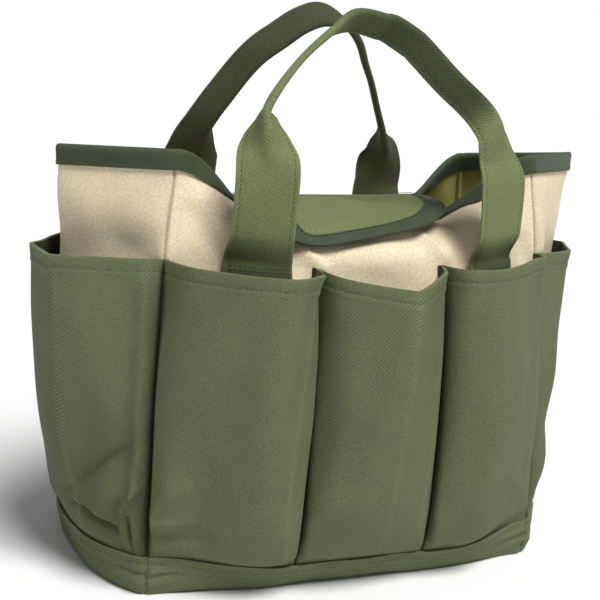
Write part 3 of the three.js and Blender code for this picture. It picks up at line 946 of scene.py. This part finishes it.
# foot and lean: how far the legs' feet and the apex are from the middle plane. neck, apex: heights.
# legs: places along the bag. shoulders: how long the left and right leg narrow for.
# arch: the grip's centre line, from neck to neck. sense: the way it is folded. grip_shade: how much painted
# shade darkens the grip's turned half.
# leg_turn, edgewise, broad: the direction of the strap's width on its legs and on the grip's two halves.
FRONT_HANDLE = {
    "foot": 96, "left_foot": 90, "lean": 47, "neck": 318, "apex": 376,
    "legs": (-82.5, 85), "shoulders": (40, 34),
    "arch": [(-82, 318), (-70, 332.5), (-53, 348.5), (-33, 363), (-14, 371.5), (5, 369), (12, 367.5),
             (26, 359.3), (31, 354.8), (47, 338), (60, 326.5), (70.5, 317), (78, 308)],
    "leg_turn": 17, "edgewise": 110, "broad": 160, "sense": 1, "grip_shade": 0.85,
}
BACK_HANDLE = {
    "foot": 80, "left_foot": 80, "lean": 38, "neck": 287, "apex": 373,
    "legs": (-77, 75), "shoulders": (38, 24),
    "arch": [(-71, 285), (-62, 303), (-53.5, 320.4), (-44.5, 335.7), (-34.5, 353), (-20.6, 364.5),
             (-3, 368.8), (12.3, 363.4), (25.9, 353), (40.6, 340.7), (53, 324.3), (64.7, 302.7), (71.5, 281)],
    "leg_turn": -8, "edgewise": -70, "broad": -20, "sense": -1, "grip_shade": 0.0,
}


def handle_stations(handle):
    """Points of the strap's centre line, each with the direction of its fold and how far it is folded."""
    foot, arch = handle["foot"], handle["arch"]
    left_x, right_x = handle["legs"]
    left_shoulder, right_shoulder = handle["shoulders"]
    left_neck, right_neck = arch[0][1], arch[-1][1]
    edgewise, broad = handle["edgewise"], handle["broad"]

    def depth(z):
        return lerp(16 - foot, -handle["lean"], (z - handle["neck"]) / (handle["apex"] - handle["neck"]))

    stations = [
        ((left_x, -handle["left_foot"], STRAP_FOOT), edgewise, 0),
        ((left_x, 4 - foot, left_neck - left_shoulder), edgewise, 0),
        ((left_x, 10 - foot, left_neck - left_shoulder / 2), edgewise, 0.46),
        ((lerp(left_x, arch[0][0], 0.5), 13 - foot, left_neck - left_shoulder / 4), edgewise, 0.76),
    ]
    top = max(range(len(arch)), key=lambda i: arch[i][1])
    for i, (x, z) in enumerate(arch):
        folded = OPENING[i - len(arch)] if i >= len(arch) - len(OPENING) else 1
        turned = 0 if i < top else min(1, 0.55 + 0.15 * (i - top))
        stations.append(((x, depth(z), z), lerp(edgewise, broad, turned), folded))
    stations += [
        ((lerp(arch[-1][0], right_x, 0.8), 10 - foot, right_neck - right_shoulder / 2), broad, 0.2),
        ((right_x, 4 - foot, right_neck - right_shoulder), broad, 0),
        ((right_x, -foot, STRAP_FOOT), broad, 0),
    ]
    return stations


def strap_lines():
    """Places across the strap, closer at its edges, stitches and lengthwise fold."""
    half = STRAP_WIDTH / 2
    fine = [(0, 2.5), (STRAP_STITCH, 1.5), (half, 3), (STRAP_WIDTH - STRAP_STITCH, 1.5), (STRAP_WIDTH, 2.5)]
    return graded(STRAP_WIDTH, STRAP_STEP, fine) - half


def strap_section(q, handle, direction, folded):
    """The folded strap's cross-sections: places in the plane across its line, about their own middle."""
    folded = np.clip(folded, 0, 1)
    pinch, sense = GRIP_PINCH * handle["sense"], handle["sense"]
    first = lerp(handle["leg_turn"], direction - 180 * sense - pinch, folded)
    second = lerp(handle["leg_turn"], direction + pinch, folded)
    dense = np.linspace(-STRAP_WIDTH / 2, STRAP_WIDTH / 2, 401)
    bend = smooth((dense + BEND_REACH) / (2 * BEND_REACH))
    angle = np.radians(lerp(first[:, None], second[:, None], bend[None, :]))
    step = dense[1] - dense[0]
    places = np.cumsum(np.stack([np.cos(angle), np.sin(angle)], -1) * step, axis=1)
    places -= places.mean(axis=1, keepdims=True)
    return np.stack([between(q, dense, row) for row in places])


def arch_grid(handle, q):
    """The free part of a strap, foot to foot: points, shares along it, and how much each row lies in the
    grip's half that is painted in shade.
    """
    stations = handle_stations(handle)
    centre = profile([at for at, _, _ in stations])
    section = profile([(direction, folded) for _, direction, folded in stations])
    dense = np.linspace(0, 1, 3000)
    line = centre(dense)
    along = arc_length(line)
    t = np.interp(graded(along[-1], STRAP_STEP), along, dense)
    direction, folded = section(t).T
    tangent = unit(between(t, dense, np.gradient(line, axis=0)))
    depthward = np.array((0.0, 1.0, 0.0))
    outside = unit(np.cross(tangent, depthward))
    places = strap_section(q, handle, direction, folded)
    points = centre(t)[:, None] + outside[:, None] * places[..., :1] + depthward * places[..., 1:]
    turned = (direction - handle["edgewise"]) / (handle["broad"] - handle["edgewise"])
    shaded_grip = smooth((folded - 0.6) / 0.4) * smooth(turned)
    return points, t, shaded_grip


def sewn_grid(surface, x, q, facing):
    """A sewn end of the strap on its wall, bottom row first; facing is -1 at the front and 1 at the back."""
    rows = even_rows(surface, 0.6, SEWN_ROWS)
    across = x + q
    u = -facing * across[None, :] / HALF_LENGTH(rows)[..., 0][:, None]
    points = surface(u, np.broadcast_to(rows[:, None], u.shape))
    return points + np.array((0, facing * (1.8 + STRAP_THICKNESS / 2), 0))


def join_foot(arch, sewn, heights):
    """Carries the foot of the arch over to the sewn end, so that the strap kicks out of the pocket."""
    gap = sewn[-1] - arch[0]
    fade = 1 - smooth((heights - STRAP_FOOT) / KICK_HEIGHT)
    return arch + gap[None] * fade[:, None, None]


def strap_unevenness(points, t, q):
    """Slight waves along the strap, stronger on its legs."""
    legs = 1 - smooth((t - 0.1) / 0.1) * smooth((0.9 - t) / 0.1)
    s = np.arange(len(points))[:, None] * STRAP_STEP
    wave = 0.5 * np.sin(s / 21 + q[None] / 16) + 0.4 * np.sin(s / 12.5 - q[None] / 9)
    return wave * (0.35 + 0.65 * legs[:, None])


def strap_grid(handle, surface, facing, q):
    """A whole strap: its points, how far each row lies in the grip's half that is painted in shade, and the
    number of rows of each sewn end.
    """
    arch, t, shaded_grip = arch_grid(handle, q)
    arch = arch * np.array((-facing, -facing, 1.0))
    left_x, right_x = (x * -facing for x in handle["legs"])
    sewn_left = sewn_grid(surface, left_x, facing * q, facing)
    sewn_right = sewn_grid(surface, right_x, -facing * q, facing)
    middle = len(arch) // 2
    heights = arch[:, len(q) // 2, 2]
    rising = join_foot(arch[:middle], sewn_left, heights[:middle])
    falling = join_foot(arch[middle:][::-1], sewn_right, heights[middle:][::-1])[::-1]
    points = np.concatenate([sewn_left[:-1], rising, falling, sewn_right[:-1][::-1]])

    def over_all(start, free, end):
        return np.concatenate([np.full(len(sewn_left) - 1, start), free, np.full(len(sewn_right) - 1, end)])

    height = strap_unevenness(points, over_all(0, t, 1), q) * over_all(0, np.ones(len(arch)), 0)[:, None]
    return raised(points, height), over_all(0, shaded_grip, 0), (len(sewn_left), len(sewn_right))


def strap_stitches(points, sewn_rows, q):
    """Rows along both edges and across the sewn ends, on both faces."""
    rows = []
    edge = STRAP_WIDTH / 2 - STRAP_STITCH
    out = normals(points)
    for place in (-edge, edge):
        column = np.argmin(abs(q - place))
        for face in (-1, 1):
            rows.append(stitch_row(points[:, column], face * out[:, column], 0.82))
    inside = abs(q) < edge
    for end in (points[: sewn_rows[0]], points[-sewn_rows[1]:][::-1]):
        below = arc_length(end[:, len(q) // 2])
        below = below[-1] - below
        out = normals(end)
        for drop in SEAM_DROPS:
            row = np.argmin(abs(below - drop))
            for face in (-1, 1):
                rows.append(stitch_row(end[row][inside], face * out[row][inside], 1.2))
    return rows


def make_handle(name, handle, surface, facing, *sewn_ends):
    q = strap_lines()
    points, shaded_grip, sewn_rows = strap_grid(handle, surface, facing, q)
    edge = np.clip((abs(q) - (STRAP_WIDTH / 2 - 1.6)) / 1.6, 0, 1)
    grooves = 0.4 * bump_at(abs(q), STRAP_WIDTH / 2 - STRAP_STITCH, STITCH_DIP)
    half_thick = (STRAP_THICKNESS / 2 * np.sqrt(1 - 0.75 * edge**2) - grooves)[None]
    # Paler edges where rubbed; painted shade on the grip's turned half and, below, at the strap's feet.
    wear_and_shade = 0.5 * bump_at(abs(q), STRAP_WIDTH / 2, 1.2)[None] - handle["grip_shade"] * shaded_grip[:, None]
    above = points[..., 2] - (FOOT_SHADE_TOP - FOOT_SHADE_FADE)
    wear_and_shade = np.clip(wear_and_shade - FOOT_SHADE * (1 - smooth(above / FOOT_SHADE_FADE)), -1, 1)
    along = arc_length(points[:, len(q) // 2])
    place = flat_place(q[None], along[:, None])
    faces = [STRAP_GREEN, STRAP_SHADED_FACE]
    strap = cloth_sheet(f"{name}_strap", points, faces, -half_thick, half_thick, wear_and_shade, place)
    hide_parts(name, *(f"{side}_strap_end" for side in sewn_ends))
    thread_piece = make_stitches(f"{name}_stitches", strap_stitches(points, sewn_rows, q))
    for piece in (strap, thread_piece):
        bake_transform(piece)
    declare_sheet(strap, points, flat=(along[-1], STRAP_WIDTH + 0.5))


# ---- Flap ----
FLAP_HALF_WIDTH = 78
FLAP_PATH = profile([(-92, 235), (-78, 245.5), (-48, 250.5), (-10, 248), (26, 242)])
FLAP_CUT = (0.2, 0.84, 0.965, 0.98, 0.96, 0.93, 0.90, 0.87, 0.84, 0.80, 0.74, 0.64, 0.5, 0.16)
FLAP_REACH = profile([(share,) for share in FLAP_CUT])  # its free edge, from left to right
FLAP_TILT = 1.5
FLAP_TAPE = 13  # width of the tape folded over the flap's edge
FLAP_LIP = 0.5  # how much the weight of the tape bends the free edge down
FLAP_SEWN = 16  # how far the flap runs down behind the back rim
FLAP_FACES = (0.1, 1.5)  # its underside and its top, from the surface below
FLAP_STEP = 2.4
TAPE_LINES = (10.5, 8, 5.5, 3, 1.2)  # where the tape's lines of points lie, from the flap's edge


def flap_length(x):
    return FLAP_REACH((x / FLAP_HALF_WIDTH + 1) / 2)[..., 0]


def flap_point(x, share):
    """A point of the flap: x across it and a share of its longest length out from the hinge."""
    u = np.clip(x / FLAP_HALF_WIDTH, -1, 1)
    place = FLAP_PATH(1 - share)
    out = np.clip(share / flap_length(x), 0, 1)
    drop = FLAP_TILT * (1 - u) * (1 - u * u) * out + FLAP_LIP * smooth((share - 0.86) / 0.14) ** 1.5
    y = place[..., 0] + 0 * x
    z = place[..., 1] - drop
    crease = 2.2 * fold(x, y, (-64, -74), (-22, -20), 9, 1, 0) - 1.6 * dent(x, y, (-40, -72), (16, 9), -1, 20)
    sag = 1.8 * np.sin(math.pi * np.clip(out, 0, 1)) * np.cos(u * math.pi / 2) * ripple(x, y, 60, 51)
    return np.stack([x, y, z + crease + sag], -1)


def flap_outline():
    """The flap's edge in flat places (x, share), from the left end of the hinge round to the right end."""
    sides = []
    for x in (-FLAP_HALF_WIDTH, FLAP_HALF_WIDTH):
        side = np.linspace(0, flap_length(np.array(x)), 40)[:-1]
        sides.append(np.stack([np.full_like(side, x), side], 1))
    x = -FLAP_HALF_WIDTH * np.cos(np.linspace(0, math.pi, 400))
    return np.concatenate([sides[0], np.stack([x, flap_length(x)], 1), sides[1][::-1]])


FLAP_TOTAL = arc_length(FLAP_PATH(np.linspace(0, 1, 400)))[-1]


def make_flap():
    half = FLAP_HALF_WIDTH - 1.0
    xs = graded(2 * half, FLAP_STEP) - half
    shares = graded(FLAP_TOTAL, FLAP_STEP) / FLAP_TOTAL
    x, share = lattice(xs, shares)
    points = flap_point(x, share * (flap_length(x) - 0.02))[:, ::-1]
    tail = graded(FLAP_SEWN, FLAP_STEP)[1:]
    drop = np.stack([0 * tail, 9 * np.sin(tail / FLAP_SEWN * 1.4), -tail * 0.55], 1)
    points = np.concatenate([points, points[:, -1:] + drop], axis=1)
    place = flat_place(points[..., 0], arc_length(points[len(xs) // 2]))
    flap = cloth_sheet("flap_cloth", points, [STRAP_GREEN, GREEN_COATING], *FLAP_FACES, place=place)
    declare_sheet(flap, points,
                  flat=(2 * FLAP_HALF_WIDTH, FLAP_TOTAL + FLAP_SEWN))
    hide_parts("flap")
    tape, tape_thread = make_flap_tape()
    for piece in (flap, tape, tape_thread):
        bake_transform(piece)


def flap_normal(x, share):
    step = 0.5
    along = flap_point(x + step, share) - flap_point(x - step, share)
    away = flap_point(x, share + step / FLAP_TOTAL) - flap_point(x, share - step / FLAP_TOTAL)
    return unit(np.cross(away, along))


def make_flap_tape():
    """The tape folded over the flap's free edge: in on the top, round the edge and back underneath."""
    flat = flap_outline() * np.array((1, FLAP_TOTAL))
    along = arc_length(flat)
    even = graded(along[-1], 2.0)
    flat = between(even, along, flat)
    for _ in range(6):  # rounds the corners
        flat[1:-1] = (flat[:-2] + 2 * flat[1:-1] + flat[2:]) / 4
    direction = unit(np.gradient(flat, axis=0))
    inward = np.stack([-direction[:, 1], direction[:, 0]], 1)
    middle = np.array((0, 0.45 * FLAP_TOTAL))
    facing_in = np.sign(((middle - flat) * inward).sum(1, keepdims=True))
    inward = unit(lerp(inward * facing_in, unit(middle - flat), 0.25))

    def on_flap(depth):
        """The points and normals of the flap along its edge, at a depth in from it."""
        x, y = (flat + inward * depth).T
        share = np.maximum(y / FLAP_TOTAL, 0)
        return flap_point(x, share), flap_normal(x, share)

    section = [(depth, 1.9) for depth in (FLAP_TAPE, *TAPE_LINES)]
    for angle in np.linspace(0.35, math.pi - 0.35, 6):
        section.append((0.3 - 1.6 * math.sin(angle), 0.75 + 1.25 * math.cos(angle)))
    section += [(depth, -0.5) for depth in (*TAPE_LINES[::-1], FLAP_TAPE - 1)]
    rows = []
    for depth, lift in section:
        place, out = on_flap(depth)
        rows.append(place + out * lift)
    points = np.stack(rows, axis=1)
    fall = arc_length(points[len(even) // 2])
    wear_and_shade = np.tile(0.45 * bump_at(fall, 0, 0.9) + 0.5 * bump_at(fall, 13.5, 1.8), (len(even), 1))
    tape = cloth_sheet("flap_tape", points, [TAPE], -0.1, 0.8, wear_and_shade)
    declare_sheet(tape, points)
    return tape, make_stitches("flap_stitches", [stitch_row(*on_flap(FLAP_TAPE - TAPE_STITCH), 2.75)])


# ---- Closure, base and thread ----
def fuzzy_patch(name, points, body):
    """A hook or loop patch: a low pile with a bound edge."""
    i, j = lattice(*(np.arange(count) for count in points.shape[:2]))
    border = np.minimum(np.minimum(i, points.shape[0] - 1 - i), np.minimum(j, points.shape[1] - 1 - j))
    pile = 0.45 * smooth(border / 2) * (0.75 + 0.25 * np.sin(i * 2.4) * np.sin(j * 2.1))
    patch = cloth_sheet(f"{name}_cloth", points, [FUZZ], -0.3, 0.3 + pile)
    declare_sheet(patch, points)
    settle(patch, name, body)


def make_patches():
    u, v = lattice(np.linspace(-0.25, 0.05, 46), np.linspace(0.76, 0.84, 22))
    loop = front(u, v)
    height = front_folds(loop[..., 0], loop[..., 2])
    fuzzy_patch("front_loop_patch", raised(loop, 0.7 + height), "bag")
    x, share = lattice(np.linspace(8, -32, 46), np.linspace(0.84, 0.7, 18))
    under = flap_point(x, share * flap_length(x))
    fuzzy_patch("flap_hook_patch", raised(under, 1.1), "flap")


def plate(name, material, bottom, top, inset, node):
    """A flat plate over the plan of the walls at the ground, as rings from its edge to its middle."""
    outline = []
    for surface in (front, right, back, left):
        u = np.linspace(-1, 1, 60)[:-1]
        outline.append(surface(u, np.zeros_like(u)))
    outline = np.concatenate(outline)
    outline = np.concatenate([outline, outline[:1]])
    tangent = unit(np.gradient(outline, axis=0))
    inward = np.stack([-tangent[:, 1], tangent[:, 0], 0 * tangent[:, 0]], 1)
    edge = outline + inward * inset
    shares = 1 - graded(1, 1 / 24)[:-1]
    rings = np.stack([edge * np.array((share, share, 0)) for share in shares], axis=1)
    rings = np.concatenate([rings, rings[:, -1:] * 0.05], axis=1)
    rings[..., 2] = (bottom + top) / 2
    is_cloth = top - bottom < 2
    rings[..., 2] += 0.25 * ripple(rings[..., 0], rings[..., 1], 60, 61) if is_cloth else 0
    half_thick = (top - bottom) / 2 - 0.3
    piece = cloth_sheet(name, rings, [material], -half_thick, half_thick, place=rings * MM)
    settle(piece, node)
    return piece, rings


def make_base():
    base, rings = plate("base_panel_cloth", GREEN, 0, 1.6, 0.8, "base_panel")
    cut = np.ptp(rings.reshape(-1, 3), axis=0)[:2]
    declare_sheet(base, rings, flat=cut)
    plate("base_board_sheet", BOARD, 2.0, 5.0, 5.5, "base_board")


def make_thread():
    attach(make_stitches("bag_stitches", bag_stitches), "bag")


# ---- Camera, floor and light ----
LENS = 86.96
CAMERA_PLACE = (-0.41907, -0.9004, 0.429586)
CAMERA_TURN = 24.28
CAMERA_PITCH = 14.56
CAMERA_ROLL = 4.81
FLOOR_REACH = 40.0  # in metres, far enough that the floor fills the view
FLOOR_TONE = 0.88
SKY_STRENGTH = 0.25
SUN_FROM = (0.14, -0.46, 0.88)
SUN_SOFTNESS = 28  # the angle the sun fills, in degrees
SUN_POWER = 3.4


def make_camera():
    turn, pitch, roll = (math.radians(a) for a in (CAMERA_TURN, CAMERA_PITCH, CAMERA_ROLL))
    ahead = Vector((math.sin(turn) * math.cos(pitch), math.cos(turn) * math.cos(pitch), -math.sin(pitch)))
    level = Vector((math.cos(turn), -math.sin(turn), 0))
    upward = level.cross(ahead)
    across = level * math.cos(roll) + upward * math.sin(roll)
    upright = upward * math.cos(roll) - level * math.sin(roll)
    data = bpy.data.cameras.new("camera")
    data.lens = LENS
    camera = place_object("camera", data)
    axes = Matrix((across, upright, -ahead)).transposed().to_4x4()
    camera.matrix_world = Matrix.Translation(CAMERA_PLACE) @ axes
    bpy.context.scene.camera = camera


def make_floor():
    mesh = bpy.data.meshes.new("floor")
    corners = [(x * FLOOR_REACH, y * FLOOR_REACH, 0) for x, y in ((-1, -1), (1, -1), (1, 1), (-1, 1))]
    mesh.from_pydata(corners, [], [(0, 1, 2, 3)])
    mesh.materials.append(Shader("floor").shade(Base_Color=(FLOOR_TONE,) * 3 + (1,), Roughness=0.9))
    place_object("floor", mesh)


def make_light():
    """A white sky and one soft sun."""
    world = bpy.data.worlds.new("studio")
    world.use_nodes = True
    background = world.node_tree.nodes["Background"]
    background.inputs["Color"].default_value = (1, 1, 1, 1)
    background.inputs["Strength"].default_value = SKY_STRENGTH
    sun = bpy.data.lights.new("key", "SUN")
    sun.angle = math.radians(SUN_SOFTNESS)
    sun.energy = SUN_POWER
    light = place_object("key", sun)
    light.rotation_euler = (-Vector(SUN_FROM)).to_track_quat("-Z", "Y").to_euler()
    scene = bpy.context.scene
    scene.world = world
    scene.view_settings.view_transform = "Standard"


make_camera()
make_panels()
make_bands()
make_rim_bindings()
make_pockets()
make_handle("front_handle", FRONT_HANDLE, front, -1, "front_left", "front_right")
make_handle("back_handle", BACK_HANDLE, back, 1, "back_left", "back_right")
make_flap()
make_patches()
make_base()
make_thread()
make_floor()
make_light()
